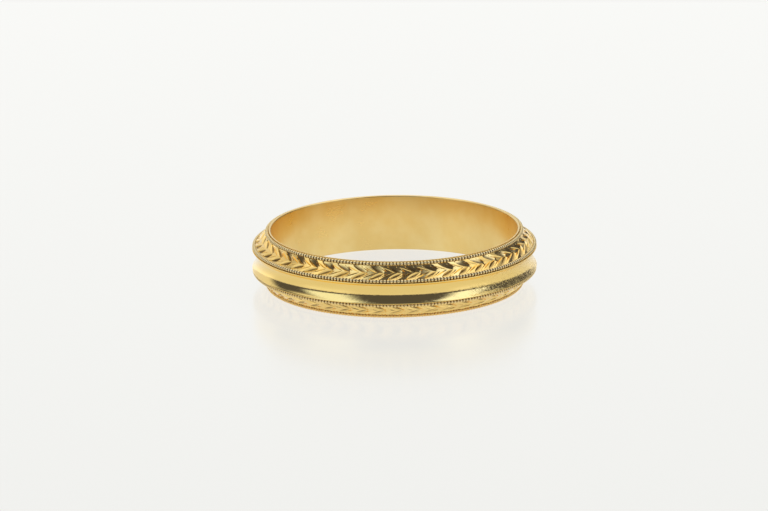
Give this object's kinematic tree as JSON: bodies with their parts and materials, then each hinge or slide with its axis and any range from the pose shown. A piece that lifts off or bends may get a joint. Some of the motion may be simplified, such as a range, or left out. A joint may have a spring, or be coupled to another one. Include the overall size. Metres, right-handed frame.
{
  "type": "wedding band",
  "caption": "Gold wedding band with a polished hollow around the middle, engraved wheat-pattern bevels and milgrain borders.",
  "frame": {"origin": "on the finger's axis, in the plane of the lower rim that the band rests on", "axes": "+Z along the finger, from one rim to the other; the band is the same all the way around, so +X and +Y are free"},
  "size_m": [0.0204, 0.0204, 0.0041],
  "materials": {
    "plain_gold": "satin, worn",
    "polished_gold": "mirror polish with light scratches",
    "engraved_gold": "bright cut, darkened in the recesses",
    "milgrain_gold": "polished grains"
  },
  "bodies": {
    "root": {"finger_sleeve": "plain_gold", "channel_ring": "polished_gold", "upper_engraved_rail": "engraved_gold", "lower_engraved_rail": "engraved_gold", "upper_rim_milgrain": "milgrain_gold", "upper_ridge_milgrain": "milgrain_gold", "lower_rim_milgrain": "milgrain_gold", "lower_ridge_milgrain": "milgrain_gold"}
  },
  "joints": []
}
